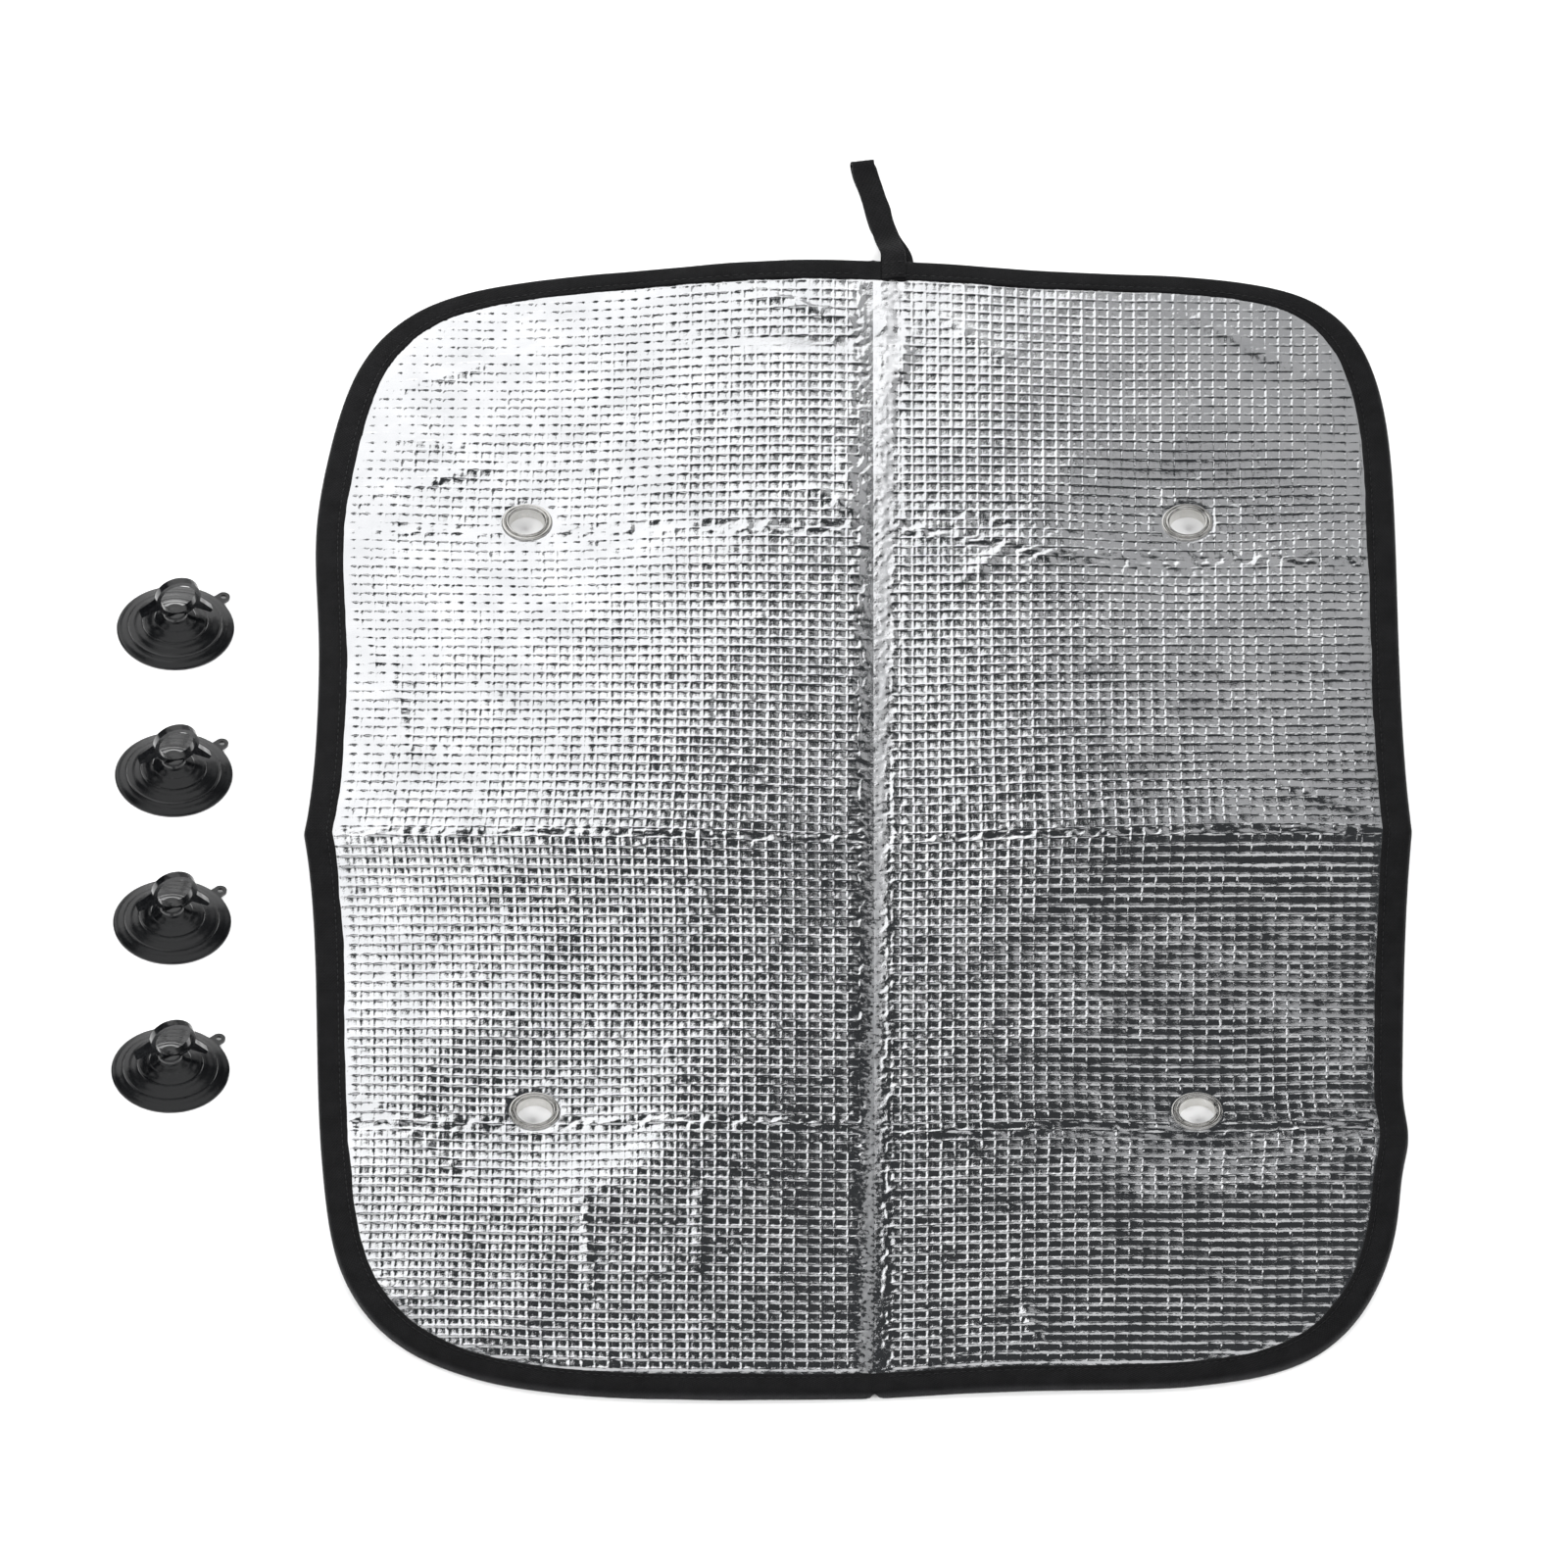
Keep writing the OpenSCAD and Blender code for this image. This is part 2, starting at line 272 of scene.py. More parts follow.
def band(x, y):
    """From 0 to 1, how crumpled the foil is: the four creases and a little elsewhere."""
    c1, c2, c3 = CREASE_YS
    spine = CREASE_X + 2.5 + (y / HALF_L) * 5.5 + 1.5 * noise(y, y * 0, 40, 3)
    upper = np.where(x > CREASE_X, c1 + 12 - 18 * smooth((x - CREASE_X) / 95), c1 + 13)
    upper = upper + 1.2 * noise(x, x * 0, 30, 4)
    lower = np.where(x > CREASE_X, c3 + 5, c3 + 9) + 1.2 * noise(x, x * 0, 26, 5)
    middle = c2 + 0.8 * noise(x, x * 0, 30, 6)
    found = np.exp(-(((x - spine) / 4.5) ** 2))
    found = np.maximum(found, 0.9 * np.exp(-(((y - upper) / 4.5) ** 2)))
    second = 0.7 * np.exp(-(((y - upper - 13) / 4.0) ** 2) - ((x - CREASE_X) / 120) ** 2)
    found = np.maximum(found, np.where(x > CREASE_X, second, 0))
    found = np.maximum(found, 0.85 * np.exp(-(((y - lower) / 4.0) ** 2)))
    found = np.maximum(found, 0.9 * np.exp(-(((y - middle) / 2.4) ** 2)))
    for a, b, _, width in WRINKLES:
        d, _ = segment_distance(x, y, a, b)
        found = np.maximum(found, 0.55 * np.exp(-((d / width) ** 2)))
    edge = np.exp(-np.maximum(edge_distance(x, y) - BIND_W, 0) / 5.0) * 0.35
    return np.maximum(found, edge)


def emboss(x, y):
    """Height of the film's square dishes and the sharp ridges between them."""
    u, v = (x - CREASE_X) / PITCH, (y - CUT_YS[0]) / PITCH
    i, j = np.floor(u + 1e-6).astype(int), np.floor(v + 1e-6).astype(int)
    cu, cv = (u - i) * 2 - 1, (v - j) * 2 - 1
    inside = (1 - cu**4) * (1 - cv**4)
    tilt = (per_cell(i, j, 20) * cu + per_cell(i, j, 21) * cv) * 0.09
    dent = 0.04 * noise(x, y, 1.7, 25)
    flat = 1 - 0.45 * smooth((x - CREASE_X) / 20) * smooth((y - CREASE_YS[0] - 20) / 25)
    deep = 1 + 0.25 * per_cell(i, j, 22) * inside
    sag = SAG_X * (1 - np.abs(cu) ** 1.6) + SAG_Y * np.abs(cv) ** 1.7
    sag = sag - CORNER * np.maximum(cu + cv - 0.45, 0) * (1 + 0.5 * per_cell(i, j, 24))
    wear = 0.75 + 0.35 * noise(x, y, 9, 26)
    rise_x, rise_y = (np.clip((np.abs(c) - RIDGE_FROM) / (1 - RIDGE_FROM), 0, 1) for c in (cu, cv))
    ridge = np.maximum(RIDGE_X * rise_x, RIDGE_Y * rise_y)
    return 0.1 + sag * flat * deep + inside * (tilt + dent) * flat + ridge * wear


def film_height(x, y, seed=0):
    """Height of the film's outer side above its base, with its emboss and creased foil."""
    crushed = band(x, y)
    height = emboss(x, y) * (1 - 0.6 * crushed)
    height = height + 0.08 * ridged(x, y, 7.5, 30 + seed)
    folds = 0.40 * ridged(x, y, 5.5, 40 + seed) + 0.22 * noise(x, y, 2.3, 44 + seed)
    height = height + crushed * folds
    for a, b, rise, width in WRINKLES:
        d, t = segment_distance(x, y, a, b)
        height = height + rise * np.exp(-((d / width) ** 2)) * np.sin(np.pi * np.clip(t, 0.03, 0.97))
    height = np.clip(height, 0, 1.5)
    bare = smooth((edge_distance(x, y) - BIND_W + 0.4) / 2.2)
    height = height * bare
    nearest = np.abs(x - CREASE_X)
    # Near the lengthwise crease there's room for creased foil in what the folded halves leave free.
    room = 0.06 + 0.075 * nearest
    sharp = 1 - np.abs(noise(x, y * 0.8, 2.1, 50 + seed)) * 1.2 - np.abs(noise(x, y, 4.3, 52 + seed)) * 0.9
    wrinkled = room * np.clip(0.30 + 0.75 * sharp, 0, 1) * bare
    return wrinkled + (np.maximum(height, 0) - wrinkled) * smooth((nearest - 3) / 8)


def back_of(x, base):
    """The pad's back, which rounds up to the front at the lengthwise crease, so that the halves can fold."""
    u = np.abs(x - CREASE_X)
    turn = THICK + 0.4
    rise = 1 - np.sqrt(np.clip(1 - (1 - np.clip(u / turn, 0, 1)) ** 2, 0, 1))
    return base + (THICK - 0.1 - base) * rise


# ---------------------------------------------------------------- meshes


SHARP_ANGLE = math.radians(50)


def make_object(name, points, faces, material):
    """A mesh object from points in millimetres and arrays of faces, each array with one number of corners."""
    mesh = bpy.data.meshes.new(name)
    points = np.asarray(points, np.float32) * MM
    loops = np.concatenate([np.asarray(f, np.int32).ravel() for f in faces])
    sizes = np.concatenate([np.full(len(f), np.asarray(f).shape[1], np.int32) for f in faces])
    mesh.vertices.add(len(points))
    mesh.vertices.foreach_set("co", points.ravel())
    mesh.loops.add(len(loops))
    mesh.loops.foreach_set("vertex_index", loops)
    mesh.polygons.add(len(sizes))
    mesh.polygons.foreach_set("loop_start", np.concatenate([[0], np.cumsum(sizes)[:-1]]).astype(np.int32))
    mesh.polygons.foreach_set("loop_total", sizes)
    mesh.materials.append(material)
    mesh.polygons.foreach_set("use_smooth", np.ones(len(sizes), bool))
    mesh.update(calc_edges=True)
    mesh.validate()
    mesh.set_sharp_from_angle(angle=SHARP_ANGLE)
    made = bpy.data.objects.new(name, mesh)
    bpy.context.scene.collection.objects.link(made)
    return made


def cell_lines(first, last, lines, near=()):
    """Mesh lines through the emboss cells from first to last, closer together in the cells near a crease."""
    places, cells = [], []
    for cell in range(first, last):
        middle = (cell + 0.5) * PITCH
        chosen = CREASE_LINES if any(abs(middle - place) < reach for place, reach in near) else lines
        places += [(cell + f) * PITCH for f in chosen]
        cells += [cell] * len(chosen)
    return np.array(places + [last * PITCH]), np.array(cells)


def grid_of(column, chunk, lines):
    """(x lines, y lines, cell of each x step, cell of each y step) of one piece."""
    columns = math.ceil((HALF_W + 8) / PITCH)
    fine = lines is FRONT_LINES
    near = [(0, 13)] if fine else []
    x_range = (0, columns) if column == RIGHT else (-columns, 0)
    xs, x_cells = cell_lines(*x_range, lines, near)
    upper, lower = CUT_YS
    above = math.ceil((HALF_L + 6 - upper) / PITCH)
    middle = round((lower - upper) / PITCH)
    below = -math.ceil((HALF_L + 6 + upper) / PITCH)
    y_range = [(0, above), (middle, 0), (below, middle)][chunk]
    near = [(c - upper + 4, 13) for c in CREASE_YS] if fine else []
    ys, y_cells = cell_lines(*y_range, lines, near)
    if not fine:
        beside = np.array([0.1, 0.5, 1.2])
        xs_more = beside if column == RIGHT else -beside
        inner = xs_more[np.min(np.abs(xs[:, None] - xs_more), axis=0) > 0.05]
        xs = np.sort(np.concatenate([xs, inner]))
        x_cells = np.floor((xs[1:] + xs[:-1]) / 2 / PITCH).astype(int)
    return xs + CREASE_X, ys + upper, x_cells, y_cells


def layer(name, column, chunk, lines, surfaces, material, detailed):
    """One closed layer of the pad between the lengthwise crease and the binding.

    surfaces gives the heights of its upper and lower side. The side that isn't detailed has one face to an
    emboss cell.
    """
    xs, ys, x_cells, y_cells = grid_of(column, chunk, lines)
    x, y = np.meshgrid(xs, ys, indexing="ij")
    wx, wy = warp(x, y)
    upper, lower = surfaces(x, y)
    upper = np.maximum(upper, lower + 0.03)
    nx, ny = x.shape
    total = nx * ny
    number = np.arange(total).reshape(nx, ny)
    middle_x, middle_y = ((v[1:, 1:] + v[:-1, :-1]) / 2 for v in (wx, wy))
    nearest = np.min([np.hypot(middle_x - e[0], middle_y - e[1]) for e in EYELETS], axis=0)
    keep = nearest > FLANGE_R - 1.3
    # Whole cells that reach out from under the binding, and no further.
    cell_of = (x_cells - x_cells.min())[:, None] * 1000 + (y_cells - y_cells.min())[None, :]
    inset = edge_distance(x, y)
    corner = np.maximum.reduce([inset[:-1, :-1], inset[1:, :-1], inset[1:, 1:], inset[:-1, 1:]])
    deepest = np.full(cell_of.max() + 1, -1e3)
    np.maximum.at(deepest, cell_of, corner)
    keep &= deepest[cell_of] > BIND_W - 0.8
    a, b, c, d = number[:-1, :-1], number[1:, :-1], number[1:, 1:], number[:-1, 1:]
    whole = np.zeros(cell_of.max() + 1, int)
    np.add.at(whole, cell_of, keep)
    size = np.zeros_like(whole)
    np.add.at(size, cell_of, 1)
    plain = keep & (whole[cell_of] == size[cell_of]) & (detailed != "both")
    quads = np.stack([a, b, c, d], -1)
    fine_up = keep if detailed != "lower" else keep & ~plain
    fine_low = keep if detailed != "upper" else keep & ~plain
    faces = [quads[fine_up], quads[fine_low][:, ::-1] + total]
    if detailed != "both":
        shift = 0 if detailed == "lower" else total
        rings = cell_rings(plain, x_cells, y_cells, number, shift == 0)
        faces += [ring + shift for ring in rings]
    walls = []
    padded = np.pad(keep, 1)
    for step, (p, q) in (((-1, 0), (d, a)), ((1, 0), (b, c)), ((0, -1), (a, b)), ((0, 1), (c, d))):
        beside = padded[1 + step[0] : nx + step[0], 1 + step[1] : ny + step[1]]
        side = keep & ~beside
        walls.append(np.stack([q[side], p[side], p[side] + total, q[side] + total], 1))
    faces += walls
    points = np.concatenate([np.stack([wx.ravel(), wy.ravel(), z.ravel()], 1) for z in (upper, lower)])
    used, new = np.unique(np.concatenate([f.ravel() for f in faces]), return_inverse=True)
    split = np.cumsum([f.size for f in faces])[:-1]
    faces = [part.reshape(f.shape) for part, f in zip(np.split(new, split), faces) if f.size]
    return make_object(f"{name}_{column}_{chunk + 1}", points[used], faces, material)


def cell_rings(plain, x_cells, y_cells, number, upward):
    """One many-cornered face for each whole cell, from all the points on its border."""
    rings = {}
    for cx in np.unique(x_cells):
        i = np.flatnonzero(x_cells == cx)
        for cy in np.unique(y_cells):
            j = np.flatnonzero(y_cells == cy)
            if not plain[i[0], j[0]]:
                continue
            block = number[i[0] : i[-1] + 2, j[0] : j[-1] + 2]
            ring = np.concatenate([block[:-1, 0], block[-1, :-1], block[:0:-1, -1], block[0, :0:-1]])
            ring = ring if upward else ring[::-1]
            rings.setdefault(len(ring), []).append(ring)
    return [np.array(group) for group in rings.values()]


def front_heights(x, y):
    """(under side of the front film, its outer side), on the grid before it is warped."""
    wx, wy = warp(x, y)
    base = lie(x, y) + THICK - FILM_T
    flat = clear_of_eyelets(wx, wy, FLANGE_R + 0.2, FLANGE_R + 2.0)
    return base, base + FILM_T - 0.03 + film_height(x, y) * flat


def back_heights(x, y):
    """(outer side of the back film, its upper side)."""
    wx, wy = warp(x, y)
    base = lie(x, y)
    flat = clear_of_eyelets(wx, wy, FLANGE_R + 0.2, FLANGE_R + 2.0)
    outer = base + BACK_SKIN - np.minimum(film_height(x, y, 50) * flat * 0.8, BACK_SKIN)
    outer = back_of(x, outer)
    return outer, np.maximum(outer + 0.05, back_of(x, base + BACK_SKIN + FILM_T))


def front_film(column, chunk, material):
    def surfaces(x, y):
        under, outer = front_heights(x, y)
        return outer, under

    return layer("front_foil", column, chunk, FRONT_LINES, surfaces, material, "upper")


def back_film(column, chunk, material):
    def surfaces(x, y):
        outer, upper = back_heights(x, y)
        return upper, outer

    return layer("back_foil", column, chunk, BACK_LINES, surfaces, material, "lower")


def foam(column, chunk, material):
    def surfaces(x, y):
        under, _ = front_heights(x, y)
        _, over = back_heights(x, y)
        return under - 0.02, np.minimum(over + 0.02, under - 0.05)

    return layer("foam_core", column, chunk, FOAM_LINES, surfaces, material, "both")


def outline(count=500):
    """Points of the pad's edge, going round from the right side over the loop edge."""
    points = []
    for sx, sy, turn in ((1, 1, 1), (-1, 1, -1), (-1, -1, 1), (1, -1, -1)):
        n = SQUARENESS[sx, sy]
        angle = np.linspace(0, np.pi / 2, count)[::turn][:-1]
        x = sx * HALF_W * np.cos(angle).clip(0) ** (2 / n)
        y = sy * HALF_L * np.sin(angle).clip(0) ** (2 / n)
        points.append(np.stack([x, y], 1))
    return np.concatenate(points)


def edge_path(column, chunk, step):
    """(points along the edge of one piece, inward normals, length): even steps, cut straight at both ends."""
    ring = outline()
    upper, lower = CUT_YS
    low_y, high_y = [(upper, 1e3), (lower, upper), (-1e3, lower)][chunk]
    # Start on the far side, so that this column's edge is one stretch.
    far_side = -HALF_W if column == RIGHT else HALF_W
    ring = np.roll(ring, -int(np.argmin(np.hypot(ring[:, 0] - far_side, ring[:, 1]))), axis=0)
    fine = np.concatenate([ring, ring[:1]])
    along = np.concatenate([[0], np.cumsum(np.hypot(*np.diff(fine, axis=0).T))])
    s = np.arange(0, along[-1], 0.05)
    x, y = np.interp(s, along, fine[:, 0]), np.interp(s, along, fine[:, 1])
    side = x >= CREASE_X if column == RIGHT else x <= CREASE_X
    here = side & (y >= low_y) & (y <= high_y)
    first, last = np.flatnonzero(here)[[0, -1]]
    x, y = x[first : last + 1], y[first : last + 1]
    length = (last - first) * 0.05
    count = max(2, round(length / step))
    at = np.linspace(0, len(x) - 1, count + 1)
    px, py = np.interp(at, np.arange(len(x)), x), np.interp(at, np.arange(len(y)), y)
    for limit in (low_y, high_y):
        for end in (0, -1):
            if abs(py[end] - limit) < 0.2:
                py[end] = limit
    for end in (0, -1):
        if abs(px[end] - CREASE_X) < 0.2:
            px[end] = CREASE_X
    tangent = np.stack([np.gradient(px), np.gradient(py)], 1)
    tangent /= np.linalg.norm(tangent, axis=1)[:, None]
    inward = np.stack([-tangent[:, 1], tangent[:, 0]], 1)
    return np.stack([px, py], 1), inward, length


def on_pad(x, y, z):
    """A place on the pad, from its flat place: z is measured from the back of the flat pad."""
    wx, wy = warp(x, y)
    base = lie(x, y)
    back = back_of(x, base)
    proud = np.maximum(z - THICK, 0)
    proud = np.minimum(proud, 0.08 + 0.06 * np.abs(x - CREASE_X))
    share = np.clip(z / THICK, 0, 1)
    front = np.maximum(base + THICK, back + 0.05)
    return np.stack([wx, wy, back + (front - back) * share + proud], -1)


def tape_section():
    """The folded tape as a closed ring of (distance from the edge, height): outside, then inside."""
    top, r = THICK + PROUD, 1.6
    outer = [(BIND_W, top - 0.30), (BIND_W - 0.25, top - 0.06), (BIND_W - 0.7, top)]
    outer += [(STITCH_D + 0.9, top), (STITCH_D + 0.35, top - 0.10), (STITCH_D, top - 0.2)]
    outer += [(STITCH_D - 0.35, top - 0.10), (STITCH_D - 0.9, top), (5.4, top + 0.04), (3.2, top + 0.02)]
    for angle in np.radians([0, 30, 60, 90]):
        outer.append((r - r * math.sin(angle), top - r + r * math.cos(angle)))
    low = []
    for d, z in outer:
        low.append((d, THICK + PROUD - z if z < top else 0.0))
    outer = outer + [(0, THICK / 2)] + low[::-1]
    inner = [(BIND_W, TAPE_T), (STITCH_D, TAPE_T), (2.0, TAPE_T), (TAPE_T + 0.1, TAPE_T + 0.7)]
    inner += [(TAPE_T, THICK / 2), (TAPE_T + 0.1, top - TAPE_T - 0.7), (2.0, top - TAPE_T)]
    inner += [(STITCH_D, top - TAPE_T), (BIND_W, top - TAPE_T)]
    return np.array(outer), np.array(inner)


def binding(column, chunk, material):
    outer, inner = tape_section()
    section = np.concatenate([outer, inner])
    path, inward, length = edge_path(column, chunk, TAPE_STEP)
    s = np.linspace(0, length, len(path))
    ring = len(section)
    d = np.repeat(section[None, :, 0], len(path), 0)
    z = np.repeat(section[None, :, 1], len(path), 0)
    sx = path[:, 0][:, None]
    sy = path[:, 1][:, None]
    wander = 0.35 * noise(sx, sy, 21, 60) + 0.15 * noise(sx, sy, 6, 61)
    d = d + wander * np.clip((d - 6) / 4, 0, 1)
    pucker = 0.10 * noise(sx + d * 0.5, sy - d * 0.5, 5.0, 62)
    pucker = pucker + 0.05 * np.cos(2 * np.pi * s[:, None] / STITCH_STEP)
    on_top = (z > THICK) & (d > 1.5)
    z = z + np.where(on_top, pucker * np.clip((d - 1.5) / 4, 0, 1), 0)
    x = sx + inward[:, 0][:, None] * d
    y = sy + inward[:, 1][:, None] * d
    ends = [k for k in (0, -1) if abs(path[k, 0] - CREASE_X) < 1e-6]
    for k in ends:
        x[k] = CREASE_X
    for k in (0, -1):
        if k not in ends:
            y[k] = path[k, 1]
    points = on_pad(x, y, z)
    number = np.arange(len(path) * ring).reshape(len(path), ring)
    after = np.roll(number, -1, axis=1)
    a, b, c, e = number[:-1], after[:-1], after[1:], number[1:]
    faces = np.stack([a.ravel(), b.ravel(), c.ravel(), e.ravel()], 1)
    half = len(outer)
    caps = []
    for k, flip in ((0, False), (len(path) - 1, True)):
        row = number[k]
        outside = row[:half]
        inside = row[half:][::-1]
        share = np.round(np.linspace(0, len(inside) - 1, half)).astype(int)
        for i in range(half - 1):
            p, q = inside[share[i]], inside[share[i + 1]]
            corner = [outside[i], outside[i + 1], q] + ([] if p == q else [p])
            caps.append(corner[::-1] if not flip else corner)
    quads = np.array([f for f in caps if len(f) == 4]).reshape(-1, 4)
    tris = np.array([f for f in caps if len(f) == 3]).reshape(-1, 3)
    made = make_object(f"binding_{column}_{chunk + 1}", points.reshape(-1, 3), [faces, quads, tris], material)
    add_tape_uv(made, number, s, section)
    return made


def add_tape_uv(made, number, s, section):
    """U runs along the tape and V across it, both in metres, for the weave."""
    steps = np.linalg.norm(np.diff(section, axis=0), axis=1)
    across = np.concatenate([[0], np.cumsum(steps)])
    u = np.repeat(s[:, None], number.shape[1], 1).ravel() * MM
    v = np.repeat(across[None, :], number.shape[0], 0).ravel() * MM
    loops = np.zeros(len(made.data.loops), np.int32)
    made.data.loops.foreach_get("vertex_index", loops)
    layer = made.data.uv_layers.new(name="tape")
    layer.data.foreach_set("uv", np.stack([u[loops], v[loops]], 1).astype(np.float32).ravel())


def threads(name, starts, ends, sides, material):
    """Short round stitches from start to end, arched up on the front (side 1) or level below (side -1)."""
    around, rings = 6, 5
    share = np.linspace(0, 1, rings)
    swell = STITCH_R * np.sqrt(1 - (share * 1.86 - 0.93) ** 2)
    turn = np.arange(around) * 2 * np.pi / around
    starts, ends = np.asarray(starts), np.asarray(ends)
    along = ends - starts
    along /= np.linalg.norm(along, axis=1)[:, None]
    across = np.cross(along, (0, 0, 1.0))
    across /= np.linalg.norm(across, axis=1)[:, None]
    up = np.cross(across, along)
    middle = starts[:, None] + (ends - starts)[:, None] * share[None, :, None]
    arch = 0.16 * (1 - (share * 2 - 1) ** 2)[None, :] * np.maximum(np.asarray(sides), 0)[:, None]
    middle = middle + up[:, None] * arch[..., None]
    radial = np.cos(turn)[None, :, None] * across[:, None] + np.sin(turn)[None, :, None] * up[:, None] * 0.8
    points = middle[:, :, None] + radial[:, None] * swell[None, :, None, None]
    points[..., 2] = np.maximum(points[..., 2], 0.02)
    number = np.arange(points[..., 0].size).reshape(points.shape[:3])
    after = np.roll(number, -1, axis=2)
    tube = np.stack([number[:, :-1], after[:, :-1], after[:, 1:], number[:, 1:]], -1).reshape(-1, 4)
    caps = np.concatenate([number[:, 0, ::-1], number[:, -1]])
    return make_object(name, points.reshape(-1, 3), [tube, caps], material)


def stitches(column, chunk, material):
    """The seam on both faces of the binding."""
    path, inward, _ = edge_path(column, chunk, STITCH_STEP)
    tangent = np.stack([inward[:, 1], -inward[:, 0]], 1)
    centre = path + inward * STITCH_D
    step = tangent * STITCH_L / 2
    kept = np.abs(centre[:, 0] - CREASE_X) > 5
    kept[[0, -1]] = False
    centre, step = centre[kept], step[kept]
    starts, ends, sides = [], [], []
    for z, side in ((THICK + PROUD - 0.12, 1), (0.14, -1)):
        for ends_here, sign in ((starts, -1), (ends, 1)):
            ends_here.append(on_pad(centre[:, 0] + sign * step[:, 0], centre[:, 1] + sign * step[:, 1], z))
        sides += [side] * len(centre)
    name = f"seam_{column}_{chunk + 1}"
    return threads(name, np.concatenate(starts), np.concatenate(ends), sides, material)


def fold_room(x):
    """How high the tab can stand at x without meeting the left side when the pad is folded lengthwise."""
    return THICK - 0.25 + 0.208 * np.maximum(x - CREASE_X, 2)


def webbing_loop(material):
    """The hanging loop: one length of webbing, sewn over the binding, out to the tip and back under it."""
    _, high = box_mm("hang_loop")
    tab_x = high[0] - WEB_W / 2 - 0.4
    edge = HALF_L
    out = np.linspace(0, 1, 120)
    reach = high[1] - edge + LOOP_TAB
    s = out * reach
    lean = np.radians(LOOP_LEANS[0]) * smooth((s - LOOP_TAB + 1) / 9) * (1 - out) ** 0.5
    lean = lean + np.radians(LOOP_LEANS[1]) * smooth((out - 0.45) / 0.55)
    ds = s[1] - s[0]
    x = tab_x - np.concatenate([[0], np.cumsum(np.sin(lean)[:-1] * ds)])
    y = edge - LOOP_TAB + np.concatenate([[0], np.cumsum(np.cos(lean)[:-1] * ds)])
    y = y + (high[1] - WEB_T - y[-1]) * out
    over = THICK + PROUD + WEB_T / 2 + 0.05
    lift = LOOP_EYE * np.exp(-(((out - 1) / 0.07) ** 2))
    z_front = over + (WEB_T * 1.55 - over) * smooth((s - LOOP_TAB + 0.5) / 17) + lift * 2
    z_back = np.full_like(s, WEB_T * 0.55)
    first = int(np.searchsorted(s, LOOP_TAB - 3.0))
    turn = np.linspace(0, np.pi, 12)[1:-1]
    r = (z_front[-1] - z_back[-1]) / 2
    tip = np.array([x[-1], y[-1], (z_front[-1] + z_back[-1]) / 2])
    ahead = np.array([-math.sin(lean[-1]), math.cos(lean[-1]), 0])
    bend = tip + ahead * r * np.sin(turn)[:, None] + np.array([0, 0, r]) * np.cos(turn)[:, None]
    aside = LOOP_ASIDE * (1 - smooth((s - LOOP_TAB) / 24))
    path = np.concatenate([
        np.stack([x, y, z_front], 1),
        bend,
        np.stack([x + aside, y, z_back], 1)[: first - 1 : -1],
    ])
    tangent = np.gradient(path, axis=0)
    tangent /= np.linalg.norm(tangent, axis=1)[:, None]
    flat = np.concatenate([lean, np.full(len(bend), lean[-1]), lean[: first - 1 : -1]])
    across = np.stack([np.cos(flat), np.sin(flat), np.zeros_like(flat)], 1)
    face = np.cross(across, tangent)
    length = np.concatenate([[0], np.cumsum(np.linalg.norm(np.diff(path, axis=0), axis=1))])
    half = WEB_W / 2
    d = np.array([-half, -half + 0.12, -half + 0.5, -3, -1.5, 0, 1.5, 3, half - 0.5, half - 0.12, half])
    t = np.array([0, 0.36, 0.5, 0.46, 0.5, 0.46, 0.5, 0.46, 0.5, 0.36, 0]) * WEB_T
    section = np.concatenate([np.stack([d, t], 1), np.stack([d[-2:0:-1], -t[-2:0:-1]], 1)])
    near_tip = np.minimum(np.abs(length - reach), 4.0) / 4.0
    narrow = 0.80 + 0.20 * np.sqrt(1 - (1 - near_tip) ** 2)
    rib = 1 + 0.07 * np.sin(2 * np.pi * length / WEB_RIB)
    edge_wave = 0.25 * noise(length, length * 0, 7, 70)
    across_place = section[None, :, 0] + edge_wave[:, None] * np.sign(section[None, :, 0])
    points = path[:, None] + across[:, None] * (across_place * narrow[:, None])[..., None]
    points = points + face[:, None] * (section[None, :, 1] * rib[:, None])[..., None]
    points[..., 2] = np.clip(points[..., 2], 0.02, fold_room(points[..., 0]))
    number = np.arange(points[..., 0].size).reshape(points.shape[:2])
    after = np.roll(number, -1, axis=1)
    tube = np.stack([number[:-1], after[:-1], after[1:], number[1:]], -1).reshape(-1, 4)
    caps = np.stack([number[0, ::-1], number[-1]])
    made = make_object("webbing_loop", points.reshape(-1, 3), [tube, caps], material)
    add_tape_uv(made, number, length, section)
    return made, tab_x


def tab_stitches(tab_x, material):
    """Two rows of stitches that hold the loop's tab on the binding."""
    starts, ends = [], []
    top = THICK + PROUD + WEB_T
    count = 3
    pitch = (WEB_W - 1.2) / count
    for d in (2.6, LOOP_TAB - 1.8):
        for k in range(count):
            x = tab_x - WEB_W / 2 + 0.6 + (k + 0.12) * pitch
            level = min(top, fold_room(x) - STITCH_R)
            starts.append((x, HALF_L - d, level))
            ends.append((x + pitch * 0.76, HALF_L - d, min(top, fold_room(x + pitch * 0.76) - STITCH_R)))
    return threads("tab_seam", starts, ends, [1] * len(starts), material)


# ---------------------------------------------------------------- materials


def new_material(name):
    material = bpy.data.materials.new(name)
    material.use_nodes = True
    nodes = material.node_tree.nodes
    nodes.clear()
    out = nodes.new("ShaderNodeOutputMaterial")
    shader = nodes.new("ShaderNodeBsdfPrincipled")
    material.node_tree.links.new(shader.outputs[0], out.inputs[0])
    return material, material.node_tree, shader


def add(tree, kind, **values):
    node = tree.nodes.new(kind)
    for name, value in values.items():
        if name in node.inputs:
            node.inputs[name].default_value = value
        else:
            setattr(node, name, value)
    return node


